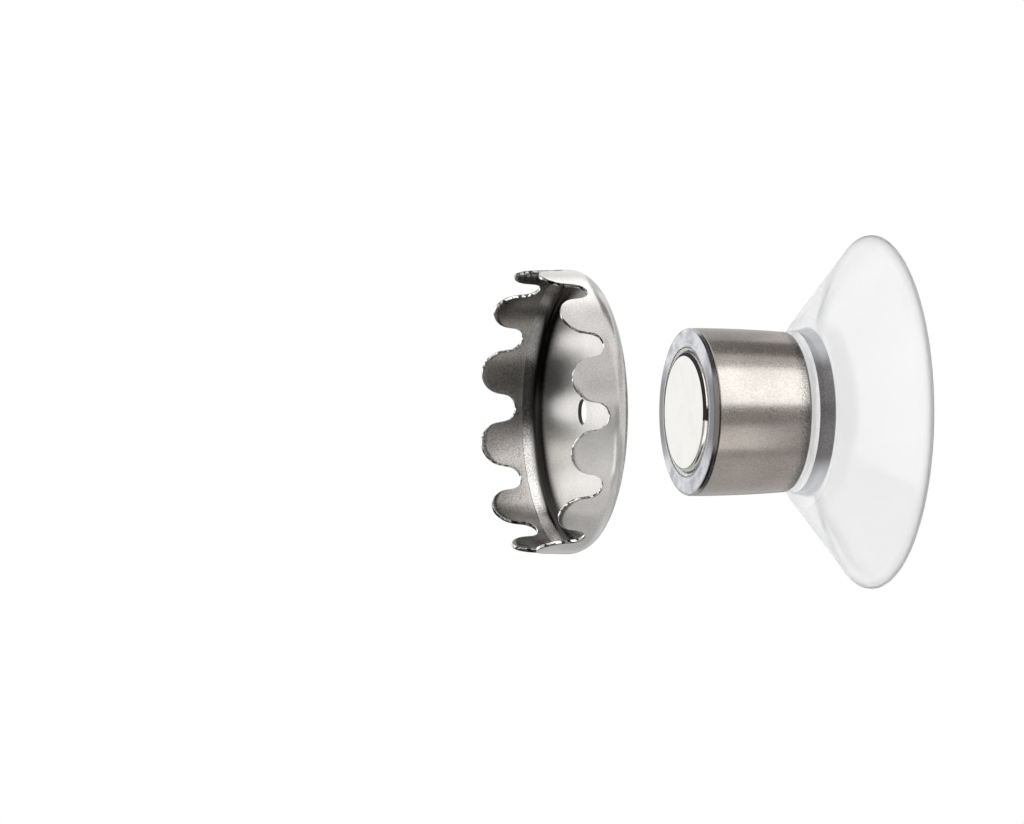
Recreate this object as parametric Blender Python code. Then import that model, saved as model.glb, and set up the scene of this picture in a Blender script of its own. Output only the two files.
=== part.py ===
"""Magnetic soap holder: a suction cup carries a steel-sleeved magnet, and a steel crown cap clings to it.

The pieces share one horizontal axis. The wall is the plane Y = 0 and the holder stands out from it
towards -Y. Every piece is written as (radius, reach) points, where reach is the distance in front of
its own datum, so a point lies at Y = -reach from that datum. Lengths are in metres.
"""

import math

import bmesh
import bpy

# Suction cup: skirt, sealing lip, neck collar and mushroom stem, moulded in one
LIP_RADIUS = 0.02373
LIP_EDGE = 0.00027
LIP_CHAMFER = 0.00015
LIP_FLAT = 0.0018
SHOULDER_RADIUS = 0.01293
SHOULDER_REACH = 0.00971
HOLLOW_RADIUS = 0.0120
HOLLOW_DEPTH = 0.0066
HOLLOW_ROUND = 0.0005
NECK_FOOT_RADIUS = 0.01133
NECK_GROOVE = 0.00042
NECK_FRONT_RADIUS = 0.01067
NECK_LENGTH = 0.00291
NECK_ROUND = 0.0006
STEM_RADIUS = 0.0048
STEM_NECK = 0.0023
STEM_HEAD_RADIUS = 0.0063
STEM_HEAD_LENGTH = 0.0036
STEM_HEAD_ROUND = 0.0012

# Steel sleeve: a tube that narrows a little towards the wall
SLEEVE_FRONT_RADIUS = 0.01124
SLEEVE_REAR_RADIUS = 0.01072
SLEEVE_WALL = 0.0005
SLEEVE_LENGTH = 0.0134
SLEEVE_EDGE = 0.00008

# Clear core: nose ring, barrel, magnet pocket in front and stem socket behind
NOSE_RIM = 0.00035
NOSE_EDGE = 0.0003
NOSE_RISE = 0.0001
NOSE_PEAK_WIDTH = 0.00042
NOSE_LEAD_IN = 0.0003

# Magnet: a plated disc with a rounded edge
MAGNET_RADIUS = 0.0080
MAGNET_LENGTH = 0.0050
MAGNET_ROUND = 0.0003
MAGNET_PROUD = 0.00035

# Crown cap: drawn sheet cup with lobes round its open edge
CAP_RADIUS = 0.01898
CAP_SHEET = 0.0005
CAP_CORNER = 0.0027
CAP_BAND = 0.0007
CAP_HOLE_RADIUS = 0.00163
LOBE_HEIGHT = 0.0050
LOBE_COUNT = 12
ROUND_SHARE = 0.98
LOBE_SHARE = 0.63
CAP_TURN = math.radians(1.7)

# Clearances and travels
FIT_GAP = 0.00025
CAP_SEAT_GAP = 0.0001
CAP_TRAVEL = 0.0138

# Fineness of the round shapes
TURN_STEPS = 56
ARC_STEPS = 3
LOBE_STEPS = 4
VALLEY_STEPS = 2
SMOOTH_ANGLE = math.radians(35)
WELD = 0.000001


# Reach of each datum in front of the wall, worked out from the pieces behind it
NECK_FOOT_REACH = SHOULDER_REACH - NECK_GROOVE
NECK_FACE_REACH = NECK_FOOT_REACH + NECK_LENGTH
BARREL_REACH = NECK_FACE_REACH + FIT_GAP
NOSE_BACK = SLEEVE_LENGTH + FIT_GAP
NOSE_EDGE_REACH = NOSE_BACK + NOSE_RIM
NOSE_PEAK_REACH = NOSE_EDGE_REACH + NOSE_RISE
MAGNET_REACH = BARREL_REACH + NOSE_PEAK_REACH + MAGNET_PROUD - MAGNET_LENGTH
MAGNET_FACE_REACH = MAGNET_REACH + MAGNET_LENGTH
CAP_REACH = MAGNET_FACE_REACH + CAP_SEAT_GAP + CAP_TRAVEL


def clear_scene():
    """Remove whatever the file holds, so that the part stands alone."""
    for obj in list(bpy.data.objects):
        bpy.data.objects.remove(obj, do_unlink=True)


def finish(name, color, roughness, metallic, alpha=1.0):
    """A plain surface finish for one piece."""
    material = bpy.data.materials.new(name)
    material.use_nodes = True
    shader = material.node_tree.nodes["Principled BSDF"]
    shader.inputs["Base Color"].default_value = (*color, 1.0)
    shader.inputs["Roughness"].default_value = roughness
    shader.inputs["Metallic"].default_value = metallic
    shader.inputs["Alpha"].default_value = alpha
    material.diffuse_color = (*color, alpha)
    return material


def arc(center, radius, start, end, steps=ARC_STEPS):
    """Points along a circular arc in the (radius, reach) plane, both ends included, angles in degrees."""
    points = []
    for i in range(steps + 1):
        angle = math.radians(start + (end - start) * i / steps)
        points.append(
            (center[0] + radius * math.cos(angle), center[1] + radius * math.sin(angle))
        )
    return points


def add_piece(name, bm, material, parent, reach=0.0):
    """Turn a bmesh into a named object that sits at its reach along its parent."""
    bmesh.ops.remove_doubles(bm, verts=bm.verts, dist=WELD)
    bmesh.ops.recalc_face_normals(bm, faces=bm.faces)
    mesh = bpy.data.meshes.new(name)
    bm.to_mesh(mesh)
    bm.free()
    mesh.shade_smooth()
    mesh.set_sharp_from_angle(angle=SMOOTH_ANGLE)
    mesh.materials.append(material)
    obj = bpy.data.objects.new(name, mesh)
    bpy.context.scene.collection.objects.link(obj)
    obj.parent = parent
    obj.location = (0.0, -reach, 0.0)
    return obj


def add_guide(name, reach, parent=None):
    """An empty on the common axis that carries the pieces that move together."""
    guide = bpy.data.objects.new(name, None)
    guide.empty_display_size = SLEEVE_FRONT_RADIUS
    guide.location = (0.0, -reach, 0.0)
    guide.parent = parent
    bpy.context.scene.collection.objects.link(guide)
    return guide


def turned(profile, closed):
    """Spin a profile of (radius, reach) points once round the Y axis.

    A closed profile is a ring's section. An open one starts and ends on the axis.
    """
    bm = bmesh.new()
    verts = [bm.verts.new((radius, -reach, 0.0)) for radius, reach in profile]
    pairs = list(zip(verts, verts[1:]))
    if closed:
        pairs.append((verts[-1], verts[0]))
    edges = [bm.edges.new(pair) for pair in pairs]
    bmesh.ops.spin(
        bm,
        geom=verts + edges,
        cent=(0.0, 0.0, 0.0),
        axis=(0.0, 1.0, 0.0),
        dvec=(0.0, 0.0, 0.0),
        angle=math.tau,
        steps=TURN_STEPS,
        use_merge=True,
        use_normal_flip=False,
        use_duplicate=False,
    )
    bmesh.ops.remove_doubles(bm, verts=bm.verts, dist=WELD)
    bmesh.ops.dissolve_degenerate(bm, edges=bm.edges, dist=WELD)
    return bm


def suction_cup_mesh():
    """The whole soft moulding, from the stem's tip round the skirt to the roof of the hollow."""
    head_back = NECK_FACE_REACH + STEM_NECK
    head_front = head_back + STEM_HEAD_LENGTH
    stem = [(0.0, head_front)]
    stem += arc(
        (STEM_HEAD_RADIUS - STEM_HEAD_ROUND, head_front - STEM_HEAD_ROUND),
        STEM_HEAD_ROUND,
        90,
        0,
    )
    stem += [
        (STEM_HEAD_RADIUS, head_back),
        (STEM_RADIUS, head_back),
        (STEM_RADIUS, NECK_FACE_REACH),
    ]
    neck = arc(
        (NECK_FRONT_RADIUS - NECK_ROUND, NECK_FACE_REACH - NECK_ROUND),
        NECK_ROUND,
        90,
        0,
    )
    neck.append((NECK_FOOT_RADIUS, NECK_FOOT_REACH))
    skirt = [
        (SHOULDER_RADIUS, SHOULDER_REACH),
        (LIP_RADIUS, LIP_EDGE),
        (LIP_RADIUS - LIP_CHAMFER, 0.0),
        (LIP_RADIUS - LIP_FLAT, 0.0),
    ]
    hollow = [
        (HOLLOW_RADIUS, HOLLOW_DEPTH - HOLLOW_ROUND),
        (HOLLOW_RADIUS - HOLLOW_ROUND, HOLLOW_DEPTH),
        (0.0, HOLLOW_DEPTH),
    ]
    return turned(stem + neck + skirt + hollow, closed=False)


def steel_sleeve_mesh():
    """A thin tapered tube with broken edges. Its datum is its rear end."""
    rear, front = SLEEVE_REAR_RADIUS, SLEEVE_FRONT_RADIUS
    section = [
        (rear - SLEEVE_WALL, 0.0),
        (rear - SLEEVE_EDGE, 0.0),
        (rear, SLEEVE_EDGE),
        (front, SLEEVE_LENGTH - SLEEVE_EDGE),
        (front - SLEEVE_EDGE, SLEEVE_LENGTH),
        (front - SLEEVE_WALL, SLEEVE_LENGTH),
    ]
    return turned(section, closed=True)


def magnet_core_mesh():
    """Nose ring, tapered barrel, pocket and socket. Its datum is the barrel's rear end."""
    barrel_rear = SLEEVE_REAR_RADIUS - SLEEVE_WALL - FIT_GAP
    barrel_front = SLEEVE_FRONT_RADIUS - SLEEVE_WALL - FIT_GAP
    mouth = STEM_RADIUS + FIT_GAP
    chamber = STEM_HEAD_RADIUS + FIT_GAP
    chamber_back = STEM_NECK - FIT_GAP - FIT_GAP
    chamber_front = STEM_NECK + STEM_HEAD_LENGTH
    pocket = MAGNET_RADIUS + FIT_GAP
    pocket_floor = MAGNET_REACH - BARREL_REACH - FIT_GAP
    socket = [
        (0.0, chamber_front),
        (chamber, chamber_front),
        (chamber, chamber_back),
        (mouth, chamber_back),
        (mouth, 0.0),
    ]
    barrel = [
        (barrel_rear, 0.0),
        (barrel_front, NOSE_BACK),
    ]
    nose = [(SLEEVE_FRONT_RADIUS, NOSE_BACK)]
    nose += arc(
        (SLEEVE_FRONT_RADIUS - NOSE_EDGE, NOSE_EDGE_REACH - NOSE_EDGE),
        NOSE_EDGE,
        0,
        90,
    )
    nose += [
        (pocket + NOSE_PEAK_WIDTH, NOSE_PEAK_REACH),
        (pocket, NOSE_PEAK_REACH - NOSE_LEAD_IN),
        (pocket, pocket_floor),
        (0.0, pocket_floor),
    ]
    return turned(socket + barrel + nose, closed=False)


def magnet_mesh():
    """A disc with rounded edges. Its datum is its rear face."""
    rim = MAGNET_RADIUS - MAGNET_ROUND
    section = [(0.0, 0.0)]
    section += arc((rim, MAGNET_ROUND), MAGNET_ROUND, -90, 0)
    section += arc((rim, MAGNET_LENGTH - MAGNET_ROUND), MAGNET_ROUND, 0, 90)
    section.append((0.0, MAGNET_LENGTH))
    return turned(section, closed=False)


def lobe_outline():
    """One lobe of the crown as (distance round the wall, height above the valleys) points.

    A round lobe tip and a round valley share the pitch between them. The straight line that touches
    both joins them, and the half outline is mirrored. The last point is left to the next lobe.
    """
    half_pitch = math.pi * CAP_RADIUS / LOBE_COUNT
    lobe_radius = half_pitch * ROUND_SHARE * LOBE_SHARE
    valley_radius = half_pitch * ROUND_SHARE - lobe_radius
    rise = LOBE_HEIGHT - lobe_radius - valley_radius
    between = math.hypot(half_pitch, rise)
    lean = math.atan2(rise, half_pitch)
    sweep = math.asin((lobe_radius + valley_radius) / between) + lean
    half = []
    for i in range(VALLEY_STEPS + 1):
        angle = sweep * i / VALLEY_STEPS
        half.append(
            (
                -half_pitch + valley_radius * math.sin(angle),
                valley_radius * (1 - math.cos(angle)),
            )
        )
    for i in range(LOBE_STEPS + 1):
        angle = sweep * (1 - i / LOBE_STEPS)
        half.append(
            (
                -lobe_radius * math.sin(angle),
                LOBE_HEIGHT - lobe_radius * (1 - math.cos(angle)),
            )
        )
    return half + [(-along, height) for along, height in half[-2:0:-1]]


def crown_cap_mesh():
    """The drawn sheet cup with its lobes. Its datum is the base's outer face, and it opens forwards.

    Each column is the sheet's section at one place round the wall, from the hole over the base's
    inner face, up the wall, over the cut edge and back down the outside.
    """
    corner_radius = CAP_RADIUS - CAP_CORNER
    inner_corner = arc(
        (corner_radius, CAP_CORNER), CAP_CORNER - CAP_SHEET, -90, 0
    )
    outer_corner = arc((corner_radius, CAP_CORNER), CAP_CORNER, 0, -90)
    pitch = math.tau / LOBE_COUNT
    bm = bmesh.new()
    columns = []
    for lobe in range(LOBE_COUNT):
        for along, height in lobe_outline():
            turn = CAP_TURN + pitch * (lobe + 1 / 2) + along / CAP_RADIUS
            edge = CAP_CORNER + CAP_BAND + height
            section = [(CAP_HOLE_RADIUS, CAP_SHEET)]
            section += inner_corner
            section += [(CAP_RADIUS - CAP_SHEET, edge), (CAP_RADIUS, edge)]
            section += outer_corner
            section.append((CAP_HOLE_RADIUS, 0.0))
            columns.append(
                [
                    bm.verts.new(
                        (radius * math.sin(turn), -reach, radius * math.cos(turn))
                    )
                    for radius, reach in section
                ]
            )
    for column, following in zip(columns, columns[1:] + columns[:1]):
        for k in range(len(column)):
            after = (k + 1) % len(column)
            bm.faces.new((column[k], column[after], following[after], following[k]))
    return bm


def main():
    clear_scene()
    clear_soft = finish("clear_soft_vinyl", (0.86, 0.88, 0.90), 0.25, 0.0, 0.55)
    clear_hard = finish("clear_moulded_plastic", (0.78, 0.81, 0.84), 0.08, 0.0, 0.5)
    brushed = finish("brushed_stainless", (0.58, 0.55, 0.52), 0.3, 1.0)
    plated = finish("nickel_plate", (0.86, 0.84, 0.80), 0.06, 1.0)
    tumbled = finish("tumbled_stainless", (0.64, 0.62, 0.60), 0.28, 1.0)

    wall_seat = add_guide("wall_seat", 0.0)
    holder_slide = add_guide("holder_slide", BARREL_REACH, wall_seat)
    cap_slide = add_guide("cap_slide", CAP_REACH - BARREL_REACH, holder_slide)

    add_piece("suction_cup", suction_cup_mesh(), clear_soft, wall_seat)
    add_piece("magnet_core", magnet_core_mesh(), clear_hard, holder_slide)
    add_piece("steel_sleeve", steel_sleeve_mesh(), brushed, holder_slide)
    add_piece(
        "magnet", magnet_mesh(), plated, holder_slide, MAGNET_REACH - BARREL_REACH
    )
    add_piece("crown_cap", crown_cap_mesh(), tumbled, cap_slide)
    bpy.context.view_layer.update()


main()
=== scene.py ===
import math

import bpy
import numpy as np
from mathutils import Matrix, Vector


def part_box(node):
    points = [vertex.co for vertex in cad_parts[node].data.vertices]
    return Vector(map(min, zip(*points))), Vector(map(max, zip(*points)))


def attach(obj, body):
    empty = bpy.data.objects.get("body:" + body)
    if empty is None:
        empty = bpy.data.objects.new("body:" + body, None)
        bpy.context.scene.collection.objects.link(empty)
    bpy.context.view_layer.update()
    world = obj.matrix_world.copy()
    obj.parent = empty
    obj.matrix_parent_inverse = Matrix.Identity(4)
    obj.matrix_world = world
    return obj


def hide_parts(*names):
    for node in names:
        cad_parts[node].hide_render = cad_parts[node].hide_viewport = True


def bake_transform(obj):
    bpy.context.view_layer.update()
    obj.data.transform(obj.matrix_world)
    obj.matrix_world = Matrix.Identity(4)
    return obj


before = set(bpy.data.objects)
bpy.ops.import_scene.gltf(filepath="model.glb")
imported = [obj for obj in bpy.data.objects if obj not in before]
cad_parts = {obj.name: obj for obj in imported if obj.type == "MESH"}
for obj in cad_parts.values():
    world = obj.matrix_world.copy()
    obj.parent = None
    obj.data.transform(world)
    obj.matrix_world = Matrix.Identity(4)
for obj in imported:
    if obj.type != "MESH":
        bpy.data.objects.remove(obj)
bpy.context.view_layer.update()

# Suction cup: a soft clear vinyl moulding that holds the whole thing on a smooth wall. Its skirt is a cone
# with a flat sealing lip and a hollow behind it. A short neck meets the steel sleeve, and the mushroom stem
# on it snaps into the clear core. It is injection moulded in one piece, so it has no seams.

CUP_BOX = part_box("suction_cup")
LIP_RADIUS = CUP_BOX[1].x
STEM_TIP = -CUP_BOX[0].y
LIP_THICKNESS = 0.00027
LIP_WIDTH = 0.0018
LIP_ROUND = 0.0001
SEAL_ROUND = 0.0005
HOLLOW = (0.0120, 0.0066)
HOLLOW_ROUND = 0.0009
SHOULDER = (0.01293, 0.00971)
SHOULDER_ROUND = 0.0004
NECK_FOOT = (0.01133, 0.00929)
NECK_FOOT_ROUND = 0.0001
NECK_FRONT = (0.01067, 0.0122)
NECK_FRONT_ROUND = 0.0006
STEM_RADIUS = 0.0048
STEM_FOOT_ROUND = 0.0002
STEM_HEAD_RADIUS = 0.0063
STEM_HEAD_ROUND = 0.0012
STEM_HEAD_BACK = 0.0145
STEM_BACK_ROUND = 0.0003
# Painted shade on the neck: the reaches where it starts, is full and ends, and its share at each reach.
NECK_SHADE_START, NECK_SHADE_FULL, NECK_SHADE_END = 0.0093, 0.0094, 0.0114
RING_START, RING_END, ROUNDING_START = 0.0115, 0.01175, 0.0119
NECK_SHADE_SHARES = (0, 1, 1, 0.08, 0.08, 0.5)
NECK_MARGIN = 0.00005
# Heights over which the neck's painted light grows.
NECK_PALE = (0.0058, 0.0093)
RIM_SHADE = (0.0222, 0.0237)
EDGE_SHADE = (0.02335, 0.02365)
ROUND_STEPS = 288
ARC_STEP = math.radians(8)
LONGEST_RUN = 0.0008
SHARP_ANGLE = math.radians(40)


def rounded(corners, longest_run=LONGEST_RUN):
    """The section of a turned piece as an array of (radius, reach) rows.

    Corners are (radius from the axis, reach from the wall, rounding). A rounded corner is the arc that
    touches both of its straight runs, found as a turn from one radius vector to the other. A row just
    outside each end of the arc keeps the flat beside it flat, and long runs are divided evenly.
    """
    points = [np.array(corner[:2], float) for corner in corners]
    rows = [points[0]]
    for before, here, after, (_, _, rounding) in zip(points, points[1:], points[2:], corners[1:]):
        if not rounding:
            rows.append(here)
            continue
        back = (before - here) / np.linalg.norm(before - here)
        ahead = (after - here) / np.linalg.norm(after - here)
        half = math.acos(np.clip(back @ ahead, -1, 1)) / 2
        reach = rounding / math.tan(half)
        centre = here + (back + ahead) / np.linalg.norm(back + ahead) * rounding / math.sin(half)
        start, end = here + back * reach, here + ahead * reach
        sweep = math.pi - 2 * half
        turn = np.linspace(0, sweep, 1 + math.ceil(sweep / ARC_STEP))[:, None]
        spokes = (np.sin(sweep - turn) * (start - centre) + np.sin(turn) * (end - centre)) / math.sin(sweep)
        rows += [start + back * rounding / 4, *(centre + spokes), end + ahead * rounding / 4]
    line = np.array(rows + [points[-1]])
    counts = np.maximum(1, np.ceil(np.linalg.norm(np.diff(line, axis=0), axis=1) / longest_run)).astype(int)
    first = np.repeat(np.arange(len(counts)), counts)
    share = (np.arange(counts.sum()) - np.repeat(np.cumsum(counts) - counts, counts)) / counts[first]
    dense = line[first] + share[:, None] * (line[first + 1] - line[first])
    return np.vstack([dense, line[-1:]])


def build(name, points, faces):
    """A mesh object at the origin from an array of points and arrays of faces, turned to face outwards.

    The sign of the volume under all faces, each split into triangles from its first corner, says
    whether they point in or out.
    """
    volume = sum(
        np.einsum("ij,ij->", points[f[:, 0]], np.cross(points[f[:, k]], points[f[:, k + 1]]))
        for f in faces
        for k in range(1, f.shape[1] - 1)
    )
    corners = [f if volume > 0 else f[:, ::-1] for f in faces]
    mesh = bpy.data.meshes.new(name)
    mesh.from_pydata(points.tolist(), [], [face for f in corners for face in f.tolist()])
    mesh.shade_smooth()
    mesh.set_sharp_from_angle(angle=SHARP_ANGLE)
    piece = bpy.data.objects.new(name, mesh)
    bpy.context.scene.collection.objects.link(piece)
    return piece


def wrapped(rows, columns, closed):
    """Quads over a grid that goes round: row i, column j to row i + 1, column j + 1."""
    index = np.arange(rows * columns).reshape(rows, columns)
    if closed:
        index = np.vstack([index, index[:1]])
    across = np.roll(index, -1, axis=1)
    return np.stack([index[:-1], across[:-1], across[1:], index[1:]], axis=-1).reshape(-1, 4)


def turned(name, section, closed=False):
    """A solid of revolution: a row (r, t) turned by the angle a lies at (r sin a, -t, r cos a).

    A closed section is a ring's. An open one starts and ends on the axis, where all turns meet in one
    vertex that a fan of triangles joins to the nearest row.
    """
    angle = np.linspace(0, math.tau, ROUND_STEPS, endpoint=False)
    rows = section if closed else section[1:-1]
    radius, reach = rows[:, :1], rows[:, 1:]
    rings = [radius * np.sin(angle), -reach + 0 * angle, radius * np.cos(angle)]
    grid = np.stack(rings, axis=-1).reshape(-1, 3)
    faces = [wrapped(len(rows), ROUND_STEPS, closed)]
    if not closed:
        count = len(grid)
        grid = np.vstack([grid, [[0, -section[0, 1], 0], [0, -section[-1, 1], 0]]])
        around = np.arange(ROUND_STEPS)
        onward = np.roll(around, -1)
        last = count - ROUND_STEPS
        faces.append(np.stack([onward, around, np.full(ROUND_STEPS, count)], axis=-1))
        faces.append(np.stack([last + around, last + onward, np.full(ROUND_STEPS, count + 1)], axis=-1))
    return build(name, grid, faces)


def mark(piece, name, values):
    """Give a piece's vertices a number each, which its material reads by the name."""
    field = piece.data.attributes.new(name, "FLOAT", "POINT")
    field.data.foreach_set("value", values.astype(np.float32).ravel())


class Wire:
    """An output socket that can stand in a sum: each operator adds a Math node to its node tree."""

    def __init__(self, socket):
        self.socket = socket

    def math(self, operation, *values):
        tree = self.socket.id_data
        node = tree.nodes.new("ShaderNodeMath")
        node.operation = operation
        for entry, value in zip(node.inputs, values):
            connect(tree, value, entry)
        return Wire(node.outputs[0])

    def __add__(self, other):
        return self.math("ADD", self, other)

    def __sub__(self, other):
        return self.math("SUBTRACT", self, other)

    def __rsub__(self, other):
        return self.math("SUBTRACT", other, self)

    def __mul__(self, other):
        return self.math("MULTIPLY", self, other)

    def __abs__(self):
        return self.math("ABSOLUTE", self)

    def at_least(self, other):
        return self.math("MAXIMUM", self, other)

    __radd__ = __add__
    __rmul__ = __mul__


def connect(tree, value, entry):
    """Feed an input socket with a wire, or set it to a plain number, colour or vector."""
    if isinstance(value, Wire):
        tree.links.new(value.socket, entry)
    else:
        entry.default_value = value


class Finish:
    """A material with a Principled shader, or the world. Its nodes come from node(), and sums from Wire."""

    def __init__(self, name, owner=None):
        self.owner = owner or bpy.data.materials.new(name)
        self.owner.use_nodes = True
        self.tree = self.owner.node_tree
        self.shader = self.tree.nodes.get("Principled BSDF")

    def node(self, kind, settings, sockets, output=0):
        node = self.tree.nodes.new(kind)
        for name, value in settings.items():
            setattr(node, name, value)
        for name, value in sockets.items():
            connect(self.tree, value, node.inputs[name])
        return Wire(node.outputs[output])

    def surface(self, **sockets):
        """Feed the Principled shader, whose sockets are named here with _ for each space."""
        for name, value in sockets.items():
            connect(self.tree, value, self.shader.inputs[name.replace("_", " ")])

    def marked(self, name):
        """The numbers that mark() gave the piece's vertices."""
        return self.node("ShaderNodeAttribute", {"attribute_name": name}, {}, "Fac")

    def place(self, stretch=(1, 1, 1)):
        """Where a point of the piece is, with each axis multiplied by its stretch."""
        where = self.node("ShaderNodeTexCoord", {}, {}, "Object")
        return self.node("ShaderNodeMapping", {}, {"Vector": where, "Scale": stretch})

    def across(self):
        """Distance from the parts' common axis."""
        sockets = {"Vector": self.place((1, 0, 1))}
        return self.node("ShaderNodeVectorMath", {"operation": "LENGTH"}, sockets, "Value")

    def along(self, letter):
        """Place along one axis, with its sign."""
        return self.node("ShaderNodeSeparateXYZ", {}, {"Vector": self.place()}, letter)

    def noise(self, scale, detail=2.0, stretch=(1, 1, 1)):
        """Noise about 0.5, with roughly as many lumps in a metre as its scale."""
        sockets = {"Vector": self.place(stretch), "Scale": scale, "Detail": detail}
        return self.node("ShaderNodeTexNoise", {}, sockets, "Fac")

    def spread(self, value, low, high, start=0.0, end=1.0):
        """A smooth change from start to end while the value goes from low to high, level outside them.

        The sections name low and high as a pair, such as RIM_SHADE. A pair that falls makes a mask that
        is 1 below it.
        """
        sockets = {"Value": value, "From Min": low, "From Max": high, "To Min": start, "To Max": end}
        return self.node("ShaderNodeMapRange", {"interpolation_type": "SMOOTHSTEP"}, sockets)

    def close_to(self, value, middle, far, near):
        """1 where the value is less than near from the middle, and 0 where it is more than far."""
        return self.spread(abs(value - middle), far, near)

    def mix(self, share, first, second):
        """A colour between two, which are wires or (red, green, blue)."""
        colors = [one if isinstance(one, Wire) else (*one, 1) for one in (first, second)]
        sockets = {0: share, 6: colors[0], 7: colors[1]}
        return self.node("ShaderNodeMix", {"data_type": "RGBA"}, sockets, 2)

    def bump(self, height, distance, strength=1.0):
        """Dents that are a distance deep, in metres, where the height goes from 1 to 0."""
        sockets = {"Height": height, "Distance": distance, "Strength": strength}
        return self.node("ShaderNodeBump", {}, sockets)


def soft_clear_vinyl():
    """Clear vinyl: the skirt has a fine matt skin and is a little cloudy, and the neck is polished.

    The skirt has painted shade towards the rim, for more of it being looked through there. The neck is
    marked 1 where it has painted shade, for the dark inside seen through it, and nearly 0 on the clear ring
    in front; painted light makes it paler at its top and bottom.
    """
    finish = Finish("soft clear vinyl")
    neck = finish.marked("neck")
    cloud = finish.noise(240, 2.0)
    skin = finish.noise(900, 3.0)
    grain = finish.noise(5200, 2.0)
    edge_on = finish.node("ShaderNodeLayerWeight", {}, {"Blend": 0.5}, "Facing")
    across = finish.across()
    # painted shade: the skirt is greyer towards the rim and darker still at the lip's edge, standing for more
    # vinyl being looked through there
    rim = finish.spread(across, *RIM_SHADE)
    lip_edge = finish.spread(across, *EDGE_SHADE)
    skirt_color = finish.mix(finish.spread(cloud, 0.35, 0.65), (0.975, 0.975, 0.98), (0.995, 0.995, 0.995))
    skirt_color = finish.mix(rim, skirt_color, (0.58, 0.585, 0.60))
    skirt_color = finish.mix(lip_edge, skirt_color, (0.30, 0.305, 0.32))
    skirt_cover = rim * 0.25 + lip_edge * 0.25 + finish.spread(edge_on, 0.6, 1.0) * 0.4
    # painted shade: the neck is dark for the inside that shows through it
    neck_shade = finish.mix(finish.spread(grain, 0.35, 0.65), (0.014, 0.012, 0.012), (0.05, 0.046, 0.046))
    # painted light: the neck is paler at its top and bottom
    pale = finish.spread(abs(finish.along("Z")), *NECK_PALE)
    neck_color = finish.mix(pale, neck_shade, (0.42, 0.425, 0.46))
    finish.surface(
        Base_Color=finish.mix(neck, skirt_color, neck_color),
        Roughness=(0.46 + finish.spread(cloud, 0.3, 0.7) * 0.08) * (1 - neck * 0.8),
        IOR=1.5,
        Transmission_Weight=1.0,
        Alpha=0.3 + neck * 0.7 + (1 - neck) * skirt_cover,
        Normal=finish.bump(skin, 0.00002, 0.5),
    )
    return finish.owner


def neck_radius(reach):
    """On the straight line from the neck's foot to its front."""
    (wide, back), (narrow, front) = NECK_FOOT, NECK_FRONT
    return wide + (narrow - wide) * (reach - back) / (front - back)


def neck_shade_share(piece):
    """How much painted shade each vertex gets: by its reach from the wall, and 0 off the outside of the neck.
    """
    places = np.array([vertex.co for vertex in piece.data.vertices])
    across = np.hypot(places[:, 0], places[:, 2])
    bands = (NECK_SHADE_START, NECK_SHADE_FULL, NECK_SHADE_END, RING_START, RING_END, ROUNDING_START)
    neck_shade = np.interp(-places[:, 1], bands, NECK_SHADE_SHARES)
    return neck_shade * (across < NECK_FOOT[0] + NECK_MARGIN) * (across > STEM_HEAD_RADIUS)


cup = turned(
    "cup_moulding",
    rounded(
        [
            (0, STEM_TIP, 0),
            (STEM_HEAD_RADIUS, STEM_TIP, STEM_HEAD_ROUND),
            (STEM_HEAD_RADIUS, STEM_HEAD_BACK, STEM_BACK_ROUND),
            (STEM_RADIUS, STEM_HEAD_BACK, STEM_BACK_ROUND),
            (STEM_RADIUS, NECK_FRONT[1], STEM_FOOT_ROUND),
            (*NECK_FRONT, NECK_FRONT_ROUND),
            (neck_radius(RING_START), RING_START, 0),
            (neck_radius(NECK_SHADE_END), NECK_SHADE_END, 0),
            (*NECK_FOOT, NECK_FOOT_ROUND),
            (*SHOULDER, SHOULDER_ROUND),
            (LIP_RADIUS, LIP_THICKNESS, LIP_ROUND),
            (LIP_RADIUS, 0, LIP_ROUND),
            (LIP_RADIUS - LIP_WIDTH, 0, SEAL_ROUND),
            (*HOLLOW, HOLLOW_ROUND),
            (0, HOLLOW[1], 0),
        ]
    ),
)
mark(cup, "neck", neck_shade_share(cup))
cup.data.materials.append(soft_clear_vinyl())
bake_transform(cup)
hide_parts("suction_cup")

# Clear core: a hard, glossy moulding that everything else is fixed to. Its nose ring shows round the
# magnet in front of the sleeve, its barrel fills the sleeve, and its two pockets take the magnet in front
# and the cup's stem behind. It is moulded in clear plastic and the magnet is glued in.

CORE_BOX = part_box("magnet_core")
CORE_REAR, NOSE_FRONT = -CORE_BOX[1].y, -CORE_BOX[0].y
NOSE_RADIUS = CORE_BOX[1].x
NOSE_BACK = 0.02588
NOSE_BACK_ROUND = 0.00005
NOSE_EDGE = 0.02645
NOSE_EDGE_ROUND = 0.0005
BARREL_REAR_RADIUS = 0.00997
BARREL_REAR_ROUND = 0.0003
BARREL_FRONT_RADIUS = 0.01049
BARREL_FRONT_ROUND = 0.0001
PEAK_RADIUS = 0.00867
PEAK_ROUND = 0.0001
POCKET_RADIUS = 0.00825
POCKET_LEAD = 0.0003
POCKET_LEAD_ROUND = 0.0001
POCKET_FLOOR = 0.02165
POCKET_FLOOR_ROUND = 0.0003
SOCKET_MOUTH = 0.00505
SOCKET_RADIUS = 0.00655
SOCKET_BACK = 0.01425
SOCKET_FRONT = 0.01835
SOCKET_ROUND = 0.0002
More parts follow.
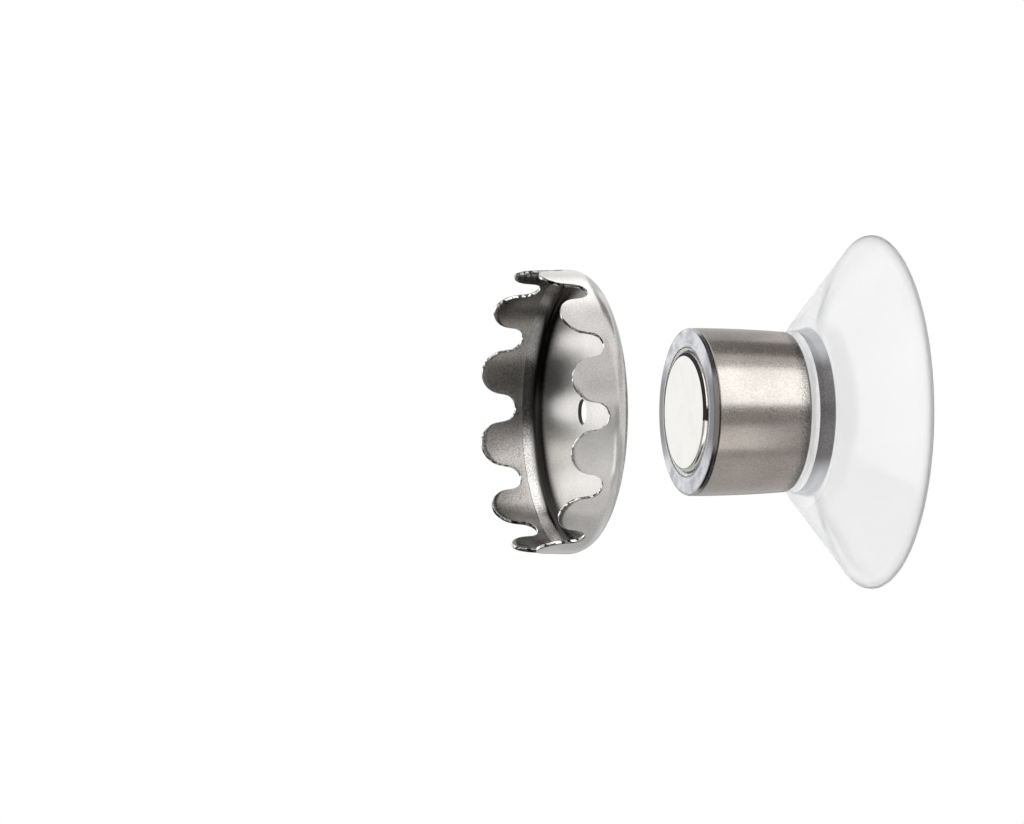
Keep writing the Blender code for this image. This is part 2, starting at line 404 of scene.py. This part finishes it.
# Painted light on the nose: shade in the ridge's crease, a highlight line on the chamfer, and by height,
# shade on the chamfer and shade, light and a reflection on the side.
CREASE_BAND = (0.00013, 0.00005)
SHINE_RADIUS = 0.00912
SHINE_BAND = (0.00016, 0.00004)
CHAMFER_CLEAR = (0.0030, 0.0075)
LINING_EDGE = (0.00862, 0.00856)
SIDE_EDGE = (0.0109, 0.0111)
SIDE_DARK = (0.0040, 0.0062)
SIDE_PALE = (0.0100, 0.0107)
# A dark band on the pocket lining and the magnet's rim: its foot and top, how ragged they are, and its
# colour.
DARK_BAND_FOOT = (-0.0014, -0.0010)
DARK_BAND_TOP = (0.0007, 0.0004)
DARK_BAND_WANDER = 0.0006
DARK_BAND_COLOR = (0.012, 0.01, 0.009)


def dark_band_ends(finish, ripple):
    """Two masks, 1 above the foot of the dark band and 1 below its top. A noise makes both ends ragged."""
    height = finish.along("Z") + (ripple - 0.5) * DARK_BAND_WANDER
    return finish.spread(height, *DARK_BAND_FOOT), finish.spread(height, *DARK_BAND_TOP)


def clear_moulded_plastic():
    """Hard clear plastic: polished, and a little wavy where it shrank.

    From the axis outwards it is the lining of both pockets, white, which gives the inner bevel a painted
    highlight, with a dark band on it; the ridge, with painted shade in its crease; the chamfer with a thin
    painted highlight; and the side. Away from mid height the chamfer goes from painted shade to clear, and
    the side from a painted brown grey reflection of the steel, over nearly black painted shade, to pale
    painted light.
    """
    finish = Finish("clear moulded plastic")
    waves = finish.noise(300, 1.5)
    streaks = finish.noise(650, 2.0)
    across = finish.across()
    height = abs(finish.along("Z"))
    # painted shade: a dark line in the crease at the ridge
    crease = finish.close_to(across, PEAK_RADIUS, *CREASE_BAND)
    # painted highlight: a thin bright line on the chamfer
    shine = finish.close_to(across, SHINE_RADIUS, *SHINE_BAND)
    cloud = finish.spread(waves * 0.6 + streaks * 0.4, 0.38, 0.60)
    clear = finish.mix(cloud, (0.50, 0.52, 0.57), (0.95, 0.965, 1.0))
    # painted shade: the chamfer is dark near mid height and clears towards top and bottom
    tint = finish.mix(finish.spread(height, *CHAMFER_CLEAR), (0.17, 0.172, 0.18), clear)
    tint = finish.mix(shine * 0.6, tint, (0.95, 0.96, 1.0))
    tint = finish.mix(crease * 0.9, tint, (0.05, 0.05, 0.055))
    # a dark band across the pocket lining, from a little below to a little above mid height
    above, below = dark_band_ends(finish, streaks)
    lining = finish.mix(above * below, (1.0, 1.0, 1.0), DARK_BAND_COLOR)
    # the lining is white, which gives the inner bevel by the magnet a painted highlight
    tint = finish.mix(finish.spread(across, *LINING_EDGE), tint, lining)
    # painted reflection, shade and light on the side: brown grey like the steel near mid height, nearly black
    # further out, pale at top and bottom
    side = finish.mix(finish.spread(height, *SIDE_DARK), (0.24, 0.225, 0.215), (0.01, 0.01, 0.012))
    side = finish.mix(finish.spread(height, *SIDE_PALE), side, (0.45, 0.46, 0.49))
    tint = finish.mix(finish.spread(across, *SIDE_EDGE), tint, side)
    finish.surface(
        Base_Color=tint,
        Roughness=0.04 + finish.spread(finish.noise(1500, 2.0), 0.4, 0.7) * 0.05,
        IOR=1.49,
        Transmission_Weight=0.3,
        Normal=finish.bump(waves, 0.00002, 0.5),
    )
    return finish.owner


core = turned(
    "core_moulding",
    rounded(
        [
            (0, SOCKET_FRONT, 0),
            (SOCKET_RADIUS, SOCKET_FRONT, SOCKET_ROUND),
            (SOCKET_RADIUS, SOCKET_BACK, SOCKET_ROUND),
            (SOCKET_MOUTH, SOCKET_BACK, SOCKET_ROUND),
            (SOCKET_MOUTH, CORE_REAR, SOCKET_ROUND),
            (BARREL_REAR_RADIUS, CORE_REAR, BARREL_REAR_ROUND),
            (BARREL_FRONT_RADIUS, NOSE_BACK, BARREL_FRONT_ROUND),
            (NOSE_RADIUS, NOSE_BACK, NOSE_BACK_ROUND),
            (NOSE_RADIUS, NOSE_EDGE, NOSE_EDGE_ROUND),
            (PEAK_RADIUS, NOSE_FRONT, PEAK_ROUND),
            (POCKET_RADIUS, NOSE_FRONT - POCKET_LEAD, POCKET_LEAD_ROUND),
            (POCKET_RADIUS, POCKET_FLOOR, POCKET_FLOOR_ROUND),
            (0, POCKET_FLOOR, 0),
        ]
    ),
)
core.data.materials.append(clear_moulded_plastic())
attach(core, "holder")
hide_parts("magnet_core")

# Steel sleeve: a short length of thin stainless tube that narrows a little towards the wall. It is
# satin finished, pressed over the core's barrel and trapped between the nose ring and the cup's neck.

SLEEVE_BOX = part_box("steel_sleeve")
SLEEVE_REAR, SLEEVE_FRONT = -SLEEVE_BOX[1].y, -SLEEVE_BOX[0].y
SLEEVE_FRONT_RADIUS = SLEEVE_BOX[1].x
SLEEVE_REAR_RADIUS = 0.01072
SLEEVE_WALL = 0.0005
SLEEVE_REAR_ROUND = 0.0004
SLEEVE_FRONT_ROUND = 0.00025
SLEEVE_INSIDE_ROUND = 0.00004
SLEEVE_BOW = 0.00013
# Where the steel is darkened towards its rear end, and how ragged that is.
DARKER_REAR = (SLEEVE_REAR + 0.0034, SLEEVE_REAR + 0.0017)
DARKER_REAR_RAGGED = 0.003


def brushed_stainless():
    """Satin steel: a fine grain with short scratches along the axis, slow drifts of shine, and a darker rear
    end.
    """
    finish = Finish("brushed stainless")
    grain = finish.noise(5200, 2.0)
    scratches = finish.noise(4200, 3.0, stretch=(1, 0.7, 1))
    drift = finish.noise(160, 2.0)
    tone = grain * 0.35 + scratches * 0.35 + drift * 0.3
    steel = finish.mix(finish.spread(tone, 0.38, 0.62), (0.33, 0.293, 0.263), (0.435, 0.396, 0.364))
    # the steel is darkened towards its rear end, where it meets the cup's neck
    darker_rear = finish.spread(abs(finish.along("Y")) + grain * DARKER_REAR_RAGGED, *DARKER_REAR)
    finish.surface(
        Base_Color=finish.mix(darker_rear * 0.75, steel, (0.08, 0.075, 0.075)),
        Metallic=1.0,
        Roughness=0.17 + finish.spread(grain, 0.3, 0.7) * 0.1,
        Normal=finish.bump(grain * 0.6 + scratches * 0.4, 0.00001, 0.6),
    )
    return finish.owner


def bowed(section):
    """The straight taper swelled outwards: at a share s of the length, by BOW times 4 s (1 - s)."""
    share = np.clip((section[:, 1:] - SLEEVE_REAR) / (SLEEVE_FRONT - SLEEVE_REAR), 0, 1)
    return section + np.hstack([SLEEVE_BOW * 4 * share * (1 - share), 0 * share])


SLEEVE_BORE = SLEEVE_REAR_RADIUS - SLEEVE_WALL
SLEEVE_MIDDLE = (SLEEVE_REAR + SLEEVE_FRONT) / 2
sleeve = turned(
    "sleeve_tube",
    bowed(
        rounded(
            [
                (SLEEVE_BORE, SLEEVE_MIDDLE, 0),
                (SLEEVE_BORE, SLEEVE_REAR, SLEEVE_INSIDE_ROUND),
                (SLEEVE_REAR_RADIUS, SLEEVE_REAR, SLEEVE_REAR_ROUND),
                (SLEEVE_FRONT_RADIUS, SLEEVE_FRONT, SLEEVE_FRONT_ROUND),
                (SLEEVE_FRONT_RADIUS - SLEEVE_WALL, SLEEVE_FRONT, SLEEVE_INSIDE_ROUND),
                (SLEEVE_BORE, SLEEVE_MIDDLE, 0),
            ]
        )[:-1]
    ),
    closed=True,
)
sleeve.data.materials.append(brushed_stainless())
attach(sleeve, "holder")
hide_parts("steel_sleeve")

# Magnet: a sintered disc with tumbled edges and a mirror bright nickel plate. It is glued into the core's
# front pocket and stands a hair proud of the nose, so that the cap meets steel on plate.

MAGNET_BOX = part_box("magnet")
MAGNET_REAR, MAGNET_FRONT = -MAGNET_BOX[1].y, -MAGNET_BOX[0].y
MAGNET_RADIUS = MAGNET_BOX[1].x
MAGNET_ROUND = 0.0005
# Radii of the dark band on the magnet's rim.
DARK_BAND_INNER = (0.00748, 0.00753)
DARK_BAND_OUTER = (0.00799, 0.00797)


def nickel_plate():
    """Bright nickel over tumbled edges, with a faint orange peel and a few dull touches.

    A dark band is painted on the rounding of the rim from just under mid height upwards. On a short
    stretch at its foot it reaches the outermost edge too.
    """
    finish = Finish("nickel plate")
    peel = finish.noise(1400, 2.0)
    touches = finish.noise(420, 3.0)
    across = finish.across()
    above, below = dark_band_ends(finish, finish.noise(1800, 2.0))
    # a dark band on the rim's rounding from just under mid height upwards
    dark_band = finish.spread(across, *DARK_BAND_INNER) * above * finish.spread(across, *DARK_BAND_OUTER).at_least(below)
    plate = finish.mix(finish.spread(touches, 0.4, 0.7), (0.90, 0.885, 0.85), (0.86, 0.845, 0.81))
    finish.surface(
        Base_Color=finish.mix(dark_band, plate, DARK_BAND_COLOR),
        Metallic=1 - dark_band,
        Roughness=0.06 + finish.spread(touches, 0.45, 0.75) * 0.06 + dark_band * 0.7,
        Normal=finish.bump(peel, 0.000004, 0.4),
    )
    return finish.owner


magnet = turned(
    "magnet_disc",
    rounded(
        [
            (0, MAGNET_FRONT, 0),
            (MAGNET_RADIUS, MAGNET_FRONT, MAGNET_ROUND),
            (MAGNET_RADIUS, MAGNET_REAR, MAGNET_ROUND),
            (0, MAGNET_REAR, 0),
        ]
    ),
)
magnet.data.materials.append(nickel_plate())
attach(magnet, "holder")
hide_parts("magnet")

# Crown cap: one blank of half millimetre stainless sheet, drawn into a shallow cup. Twelve round lobes are
# punched in its edge, to bite into what it carries, and one hole in its base, which clings to the magnet.
# It is tumbled after punching, so that the faces are satin and the cut edges are bright and broken.

CAP_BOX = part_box("crown_cap")
CAP_BASE, CAP_TIP = -CAP_BOX[1].y, -CAP_BOX[0].y
CAP_RADIUS = 0.01898
CAP_SHEET = 0.0005
CAP_HOLE = 0.00163
HOLE_ROUND = 0.0001
BEND_FOOT = 0.01764
BEND_ROUND = 0.0014
BEND_TOP = 0.00255
BEND_TOP_ROUND = 0.0003
WALL_START = 0.0027
VALLEY_REACH = CAP_BASE + 0.0034
LOBES = 12
LOBE_RISE = CAP_TIP - VALLEY_REACH
ROUND_SHARE = 0.98
LOBE_SHARE = 0.63
CAP_TURN = math.radians(1.7)
CUT_ROUND = 0.00006
FLAT_RUN = 0.002
VALLEY_STEPS, TIP_STEPS, FLANK_STEPS = 11, 19, 4
BEND_STEPS, WALL_STEPS, CUT_STEPS = 13, 9, 4
RUBBED = (0.0150, 0.0172)
# Where the thin dark line along the cut edge is painted.
EDGE_LINE_RADIUS = CAP_RADIUS - 0.00007
EDGE_LINE_BAND = (0.00006, 0.00003)
# Painted shade inside the cap: the crease, the ledge over it and the lobes above their foot.
CREASE_START, CREASE_END = (0.0146, 0.0167), (0.0182, 0.0178)
LEDGE_START = (0.0178, 0.0181)
LEDGE_TOP = (CAP_BASE + 0.0027, CAP_BASE + 0.0025)
LOBE_FOOT = (CAP_BASE + 0.0028, CAP_BASE + 0.0032)
# Radii over which the hole's wall takes its painted shade.
HOLE_WALL = (0.00176, 0.00168)


def crown_outline():
    """The cut edge round the wall as rows (distance along, height over the valleys), and its normals.

    Half a lobe is a valley arc from its lowest point, the straight run that touches both arcs, and a
    tip arc up to the top. Its mirror image makes the other half, and twelve of them go round.
    """
    half_pitch = math.pi * CAP_RADIUS / LOBES
    tip = half_pitch * ROUND_SHARE * LOBE_SHARE
    valley = half_pitch * ROUND_SHARE - tip
    rise = LOBE_RISE - tip - valley
    sweep = math.asin((tip + valley) / math.hypot(half_pitch, rise)) + math.atan2(rise, half_pitch)
    low = np.linspace(0, sweep, VALLEY_STEPS)
    high = np.linspace(sweep, 0, TIP_STEPS)
    bottom = np.stack([-half_pitch + valley * np.sin(low), valley * (1 - np.cos(low))], axis=-1)
    top = np.stack([-tip * np.sin(high), LOBE_RISE - tip * (1 - np.cos(high))], axis=-1)
    flank = bottom[-1] + np.linspace(0, 1, FLANK_STEPS)[1:-1, None] * (top[0] - bottom[-1])
    half = np.vstack([bottom, flank, top])
    one = np.vstack([half, (half * (-1, 1))[-2:0:-1]])
    shift = np.repeat(np.arange(LOBES) * 2 * half_pitch, len(one))
    line = np.tile(one, (LOBES, 1)) + np.stack([shift, 0 * shift], axis=-1)
    length = LOBES * 2 * half_pitch
    around = np.vstack([line[-1:] - (length, 0), line, line[:1] + (length, 0)])
    tangent = around[2:] - around[:-2]
    normal = np.stack([-tangent[:, 1], tangent[:, 0]], axis=-1)
    return line, normal / np.linalg.norm(normal, axis=1, keepdims=True)


def crown_cap():
    """The drawn cup: the sheet's section, carried round the wall and cut off at the crown's outline.

    A grid row is one place in the section, from the hole over the inner face, up the inside of the
    wall, over the cut edge, and back down the outside. A column is one point of the outline. The cut
    edge is the outline at each depth of the sheet, drawn in by a quarter circle at both faces.
    """
    line, normal = crown_outline()
    inner, outer = CAP_RADIUS - CAP_SHEET, CAP_RADIUS
    low_in = rounded(
        [
            (CAP_HOLE, CAP_SHEET / 2, 0),
            (CAP_HOLE, CAP_SHEET, HOLE_ROUND),
            (BEND_FOOT, CAP_SHEET, BEND_ROUND),
            (inner, BEND_TOP, BEND_TOP_ROUND),
            (inner, WALL_START, 0),
        ],
        FLAT_RUN,
    )
    floor_radius = outer - WALL_START
    quarter = np.linspace(0, math.pi / 2, BEND_STEPS)[1:, None]
    corners = [(CAP_HOLE, CAP_SHEET / 2, 0), (CAP_HOLE, 0, HOLE_ROUND), (floor_radius, 0, 0)]
    bend = (floor_radius, 0) + WALL_START * np.hstack([np.sin(quarter), 1 - np.cos(quarter)])
    low_out = np.vstack([rounded(corners, FLAT_RUN), bend])

    def sweep(rows):
        """The same section all the way round."""
        reach = CAP_BASE + rows[:, 1:] + 0 * line[:, 0]
        return rows[:, :1] + 0 * line[:, 0], reach, line[:, 0] + 0 * reach

    def wall(radius, shares):
        """Shares of the way from the bend's top up to the outline."""
        edge = line - CUT_ROUND * normal
        start = CAP_BASE + WALL_START
        reach = start + shares[:, None] * (VALLEY_REACH + edge[:, 1] - start)
        return radius + 0 * reach, reach, edge[:, 0] + 0 * reach

    arc = np.linspace(0, math.pi / 2, CUT_STEPS)[1:, None]
    depth = np.vstack([inner + CUT_ROUND * (1 - np.cos(arc)), outer - CUT_ROUND * (1 - np.cos(arc[::-1]))])
    drawn_in = CUT_ROUND * np.vstack([1 - np.sin(arc), 1 - np.sin(arc[::-1])])
    cut = (
        depth + 0 * line[:, 0],
        VALLEY_REACH + line[:, 1] - drawn_in * normal[:, 1],
        line[:, 0] - drawn_in * normal[:, 0],
    )
    up = np.linspace(0, 1, WALL_STEPS)[1:]
    parts = [sweep(low_in), wall(inner, up), cut, wall(outer, up[::-1]), sweep(low_out[:0:-1])]
    radius, reach, along = (np.vstack([part[k] for part in parts]) for k in range(3))
    turn = CAP_TURN + math.pi / LOBES + along / CAP_RADIUS
    points = np.stack([radius * np.sin(turn), -reach, radius * np.cos(turn)], axis=-1)
    piece = build("crown_cap_stamping", points.reshape(-1, 3), [wrapped(*radius.shape, True)])
    row = np.arange(len(radius))[:, None] + 0 * radius
    cut_start = len(low_in) + len(up)
    mark(piece, "cut_edge", (row >= cut_start) & (row < cut_start + len(depth)))
    mark(piece, "inside", row < cut_start)
    return piece


def tumbled_stainless():
    """Tumbled steel: a fine satin grain, coarser inside, and rubbed rougher on the flat base.

    Inside, painted shade runs round the base as a dark crease, a ledge over it is painted darker than the
    base, and the lobes up the wall are painted darker too. The cut edges are bright and torn, with dark
    flecks and a thin dark line painted by the outer face. The hole's wall has painted shade.
    """
    finish = Finish("tumbled stainless")
    cut = finish.marked("cut_edge")
    inside = finish.marked("inside")
    grain = finish.noise(5600, 3.0)
    drift = finish.noise(220, 2.0)
    torn = finish.noise(1500, 2.0)
    across = finish.across()
    reach = abs(finish.along("Y"))
    tone = finish.spread(grain * 0.6 + drift * 0.4, 0.38, 0.62)
    speck = finish.spread(grain * 0.8 + drift * 0.2, 0.38, 0.62)
    rubbed = finish.spread(across, *RUBBED, 0.15, 0.0)
    # a thin dark line painted along the cut edge, by the outer face
    edge_line = finish.close_to(across, EDGE_LINE_RADIUS, *EDGE_LINE_BAND)
    fleck = finish.spread(finish.noise(1700, 1.5), 0.53, 0.575).at_least(edge_line * 0.85) * cut * 0.95
    # painted shade: a nearly black crease round the inner corner of the base, and a darker ledge over it
    crease = inside * finish.spread(across, *CREASE_START) * finish.spread(across, *CREASE_END)
    on_ledge = finish.spread(across, *LEDGE_START) * finish.spread(reach, *LEDGE_TOP)
    outer_steel = finish.mix(tone, (0.57, 0.55, 0.53), (0.71, 0.69, 0.67))
    # painted shade: the lobes up the inner wall are darker than the base
    lobe = finish.mix(finish.spread(reach, *LOBE_FOOT), (0.62, 0.60, 0.58), (0.45, 0.435, 0.42))
    plate = finish.mix(speck, lobe, (0.83, 0.81, 0.79))
    ledge = finish.mix(speck, (0.44, 0.425, 0.41), (0.72, 0.705, 0.69))
    inner_steel = finish.mix(crease * 0.96, finish.mix(on_ledge, plate, ledge), (0.02, 0.017, 0.015))
    steel = finish.mix(inside, outer_steel, inner_steel)
    # painted shade: the hole's wall is dark
    steel = finish.mix(finish.spread(across, *HOLE_WALL), steel, (0.06, 0.055, 0.05))
    steel = finish.mix(cut * 0.9, steel, (0.96, 0.95, 0.94))
    finish.surface(
        Base_Color=finish.mix(fleck, steel, (0.03, 0.028, 0.025)),
        Metallic=1.0,
        Roughness=(0.17 - inside * 0.04 + rubbed + finish.spread(grain, 0.3, 0.7) * 0.08) * (1 - cut * 0.5),
        Normal=finish.bump(grain * 0.4 * (1 - cut) + torn * cut * 5.0, 0.00003, 0.6),
    )
    return finish.owner


cap = crown_cap()
cap.data.materials.append(tumbled_stainless())
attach(cap, "cap")
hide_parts("crown_cap")

# Studio: a pale floor under the parts that fades into a white surround, and soft boxes that each light
# only their own pieces. Cards from nearly black to brighter than white stand round the parts and show in
# reflections only, as a product photographer sets flags and reflectors.

AMBIENT = 0.75
FLOOR_HEIGHT = -0.06
FLOOR_HALF = 1.0
FLOOR_FADE = (0.10, 0.19)
FLOOR_GREY = 0.62
FLOOR_GLOW = 0.42
MIDDLE = (0.0, -0.025, 0.0)
# Each card is a name, a grey level, one corner, and the two edges that leave it.
CARDS = [
    ("flag_below", 0.05, (-0.025, -0.035, -0.056), (0.325, 0, 0), (0, -0.40, 0)),
    ("floor_left", 0.45, (-0.12, -0.036, -0.0557), (0.095, 0, 0), (0, -0.074, 0)),
    ("flag_left_below", 0.03, (-0.30, -0.11, -0.056), (0.29, 0, 0), (0, -0.325, 0)),
    ("floor_glow", 0.44, (-0.008, -0.058, -0.054), (0.049, -0.0095, 0), (0, -0.055, 0)),
    ("flag_front", 0.05, (0.30, 0.03, -0.056), (0, -0.465, 0), (0, 0, 0.12)),
    ("flag_front_top", 0.40, (0.30, 0.03, 0.064), (0, -0.465, 0), (0, 0, 0.062)),
    ("flag_left", 0.55, (0.12, -0.435, -0.056), (-0.57, 0, 0), (0, 0, 0.30)),
    ("flag_corner", 0.24, (0.30, -0.435, -0.056), (-0.18, 0, 0), (0, 0, 0.20)),
    ("flag_above", 0.03, (-0.02, -0.070, 0.10), (-0.065, 0, 0), (0, -0.055, 0)),
    ("flag_back", 0.15, (-0.20, -0.06, -0.05), (0, 0.16, 0), (0, 0, 0.10)),
    ("veil", 0.73, (0.055, -0.050, 0.012), (0, 0.037, 0), (0, 0, 0.075)),
    ("veil_rear", 0.86, (-0.25, 0.20, -0.056), (0.45, 0, 0), (0, 0, 0.11)),
    ("veil_rear_top", 0.62, (-0.25, 0.20, 0.054), (0.45, 0, 0), (0, 0, 0.09)),
    ("sheet_cap", 0.6, (-0.12, -0.035, -0.0555), (0.132, 0, 0), (0, 0.025, 0)),
    ("sheet_lobe", 0.85, (0.012, -0.035, -0.0555), (0.288, 0, 0), (0, 0.025, 0)),
    ("sheet_front", 1.42, (0.047, -0.0119, -0.055), (0.113, 0.041, 0), (0, 0.022, 0)),
    ("sheet_back", 0.74, (-0.12, -0.012, -0.055), (0.15, 0, 0), (0, 0.06, 0)),
    ("strip_right", 0.45, (0.20, 0.03, -0.058), (0, 0.14, 0), (0, 0, 0.08)),
    ("lid", 0.3, (0.013, -0.002, 0.10), (-0.055, 0, 0), (0, 0.09, 0)),
    ("rear_lid", 0.70, (-0.045, -0.002, 0.102), (-0.055, 0, -0.102), (0, 0.024, 0)),
]


def seen(finish, ways):
    """1 for the rays that arrive in one of some ways, such as straight from the camera, and 0 for others."""
    first, *others = [finish.node("ShaderNodeLightPath", {}, {}, f"Is {way} Ray") for way in ways]
    for other in others:
        first = first.at_least(other)
    return first


def shown(finish, shader):
    """The material with a shader of its own in place of the Principled one."""
    connect(finish.tree, shader, finish.tree.nodes["Material Output"].inputs["Surface"])
    return finish.owner


def white_surround():
    """White all round, at full strength where it is looked at and weaker as a light."""
    world = bpy.data.worlds.new("white surround")
    bpy.context.scene.world = world
    finish = Finish("white surround", world)
    straight = seen(finish, ("Camera", "Transmission", "Glossy"))
    background = finish.tree.nodes["Background"]
    connect(finish.tree, (1, 1, 1, 1), background.inputs["Color"])
    connect(finish.tree, AMBIENT + straight * (1 - AMBIENT), background.inputs["Strength"])


def glowing(finish, level, strength=1.0):
    """Even light of one grey: 0 is black, 1 is white, and more is brighter than white."""
    return finish.node("ShaderNodeEmission", {}, {"Color": (level, level, level, 1), "Strength": strength})


def pale_floor():
    """A matt pale floor that keeps its shadow near the parts and turns into plain white further out."""
    finish = Finish("pale floor")
    where = finish.node("ShaderNodeTexCoord", {}, {}, "Object")
    distance = finish.node("ShaderNodeVectorMath", {"operation": "LENGTH"}, {"Vector": where}, "Value")
    far = finish.spread(distance, *FLOOR_FADE)
    straight = seen(finish, ("Camera", "Transmission"))
    matt = finish.node("ShaderNodeBsdfDiffuse", {}, {"Color": (FLOOR_GREY, FLOOR_GREY, FLOOR_GREY, 1)})
    near = finish.node("ShaderNodeAddShader", {}, {0: matt, 1: glowing(finish, 1, FLOOR_GLOW * straight)})
    sockets = {0: far * straight, 1: near, 2: glowing(finish, 1)}
    return shown(finish, finish.node("ShaderNodeMixShader", {}, sockets))


def card_paint(name, level):
    """Card of one even grey, which is clear to light that has been through the clear pieces."""
    finish = Finish(name)
    depth = finish.node("ShaderNodeLightPath", {}, {}, "Transmission Depth")
    clear = finish.node("ShaderNodeBsdfTransparent", {}, {})
    sockets = {0: depth.math("GREATER_THAN", depth, 0.5), 1: glowing(finish, level), 2: clear}
    return shown(finish, finish.node("ShaderNodeMixShader", {}, sockets))


def flat(name, corner, side, rise, material):
    """A four-cornered stage sheet: one corner, and the two edges that leave it."""
    corner, side, rise = (np.array(v, float) for v in (corner, side, rise))
    points = np.array([corner, corner + side, corner + side + rise, corner + rise])
    mesh = bpy.data.meshes.new(name)
    mesh.from_pydata(points.tolist(), [], [(0, 1, 2, 3)])
    sheet = bpy.data.objects.new(name, mesh)
    bpy.context.scene.collection.objects.link(sheet)
    mesh.materials.append(material)
    return sheet


def soft_box(name, direction, distance, width, height, power):
    """An area lamp that looks at the middle of the parts from a direction, unseen by the camera."""
    lamp = bpy.data.lights.new(name, "AREA")
    lamp.shape = "RECTANGLE"
    lamp.size, lamp.size_y = width, height
    lamp.energy = power
    box = bpy.data.objects.new(name, lamp)
    away = Vector(direction).normalized()
    box.location = Vector(MIDDLE) + away * distance
    box.rotation_euler = away.to_track_quat("Z", "Y").to_euler()
    box.visible_camera = False
    bpy.context.scene.collection.objects.link(box)
    return box


def lights_only(lamps, pieces, name, others_shade=True):
    """Keep some lamps to some pieces, which the other pieces may shade."""
    lit = bpy.data.collections.new(name)
    for piece in pieces:
        lit.objects.link(piece)
    for lamp in lamps:
        lamp.light_linking.receiver_collection = lit
        if not others_shade:
            lamp.light_linking.blocker_collection = lit


white_surround()
floor_corner = (-FLOOR_HALF, -FLOOR_HALF, FLOOR_HEIGHT)
floor = flat("floor", floor_corner, (2 * FLOOR_HALF, 0, 0), (0, 2 * FLOOR_HALF, 0), pale_floor())
# Each soft box is a name, the direction it stands in, its distance, width and height, and its power.
key = soft_box("key_box", (0.76, 0.33, 0.56), 0.9, 0.6, 0.82, 2.85)
key.data.color = (0.90, 0.96, 1.0)
back = soft_box("back_fill", (-0.90, -0.40, 0.0), 0.9, 0.5, 0.9, 0.7)
rear_top = soft_box("rear_top", (-0.40, 0.35, 0.84), 0.9, 0.5, 0.5, 0.5)
front_top = soft_box("front_top", (0.62, -0.36, 0.70), 0.9, 0.5, 0.6, 0.5)
high_front = soft_box("high_front", (0.17, -0.33, 0.93), 0.9, 0.4, 0.4, 0.4)
ring_fill = soft_box("ring_fill", (0.1, -0.98, 0.10), 0.9, 0.5, 0.5, 4.6)
rim_light = soft_box("rim_light", (0.70, -0.16, 0.70), 0.12, 0.13, 0.15, 0.06)
rim_low = soft_box("rim_low", (0.75, -0.45, -0.48), 0.05, 0.06, 0.05, 0.009)
lights_only([key], [cup, core, sleeve, magnet, floor], "lit by the key")
lights_only([back, rear_top, front_top, high_front], [cap], "lit by the fills")
lights_only([ring_fill], [core], "lit by the ring fill", others_shade=False)
lights_only([rim_light, rim_low], [magnet], "lit by the rim lights", others_shade=False)
for name, level, corner, side, rise in CARDS:
    sheet = flat(name, corner, side, rise, card_paint(name, level))
    for ray in ("camera", "diffuse", "transmission", "shadow"):
        setattr(sheet, "visible_" + ray, False)

# Camera: level with the parts and beside them, turned a little to their front, and far away, so that the
# view is nearly flat. The lens follows from how many pixels a metre takes in the picture.

VIEW_TURN = math.radians(19.4)
VIEW_DISTANCE = 2.5
VIEW_POINT = (0.0, -0.05125, 0.0)
PIXELS_PER_METRE = 7500
PICTURE_WIDTH = 1024
SENSOR = 36.0
CLIP = (0.1, 20.0)

lens = bpy.data.cameras.new("view")
lens.sensor_width = SENSOR
lens.lens = PIXELS_PER_METRE * VIEW_DISTANCE / PICTURE_WIDTH * SENSOR
lens.clip_start, lens.clip_end = CLIP
camera = bpy.data.objects.new("view", lens)
camera.location = (
    VIEW_POINT[0] + VIEW_DISTANCE * math.cos(VIEW_TURN),
    VIEW_POINT[1] - VIEW_DISTANCE * math.sin(VIEW_TURN),
    VIEW_POINT[2],
)
camera.rotation_euler = (math.pi / 2, 0, math.pi / 2 - VIEW_TURN)
bpy.context.scene.collection.objects.link(camera)
bpy.context.scene.camera = camera
bpy.context.scene.view_settings.view_transform = "Standard"
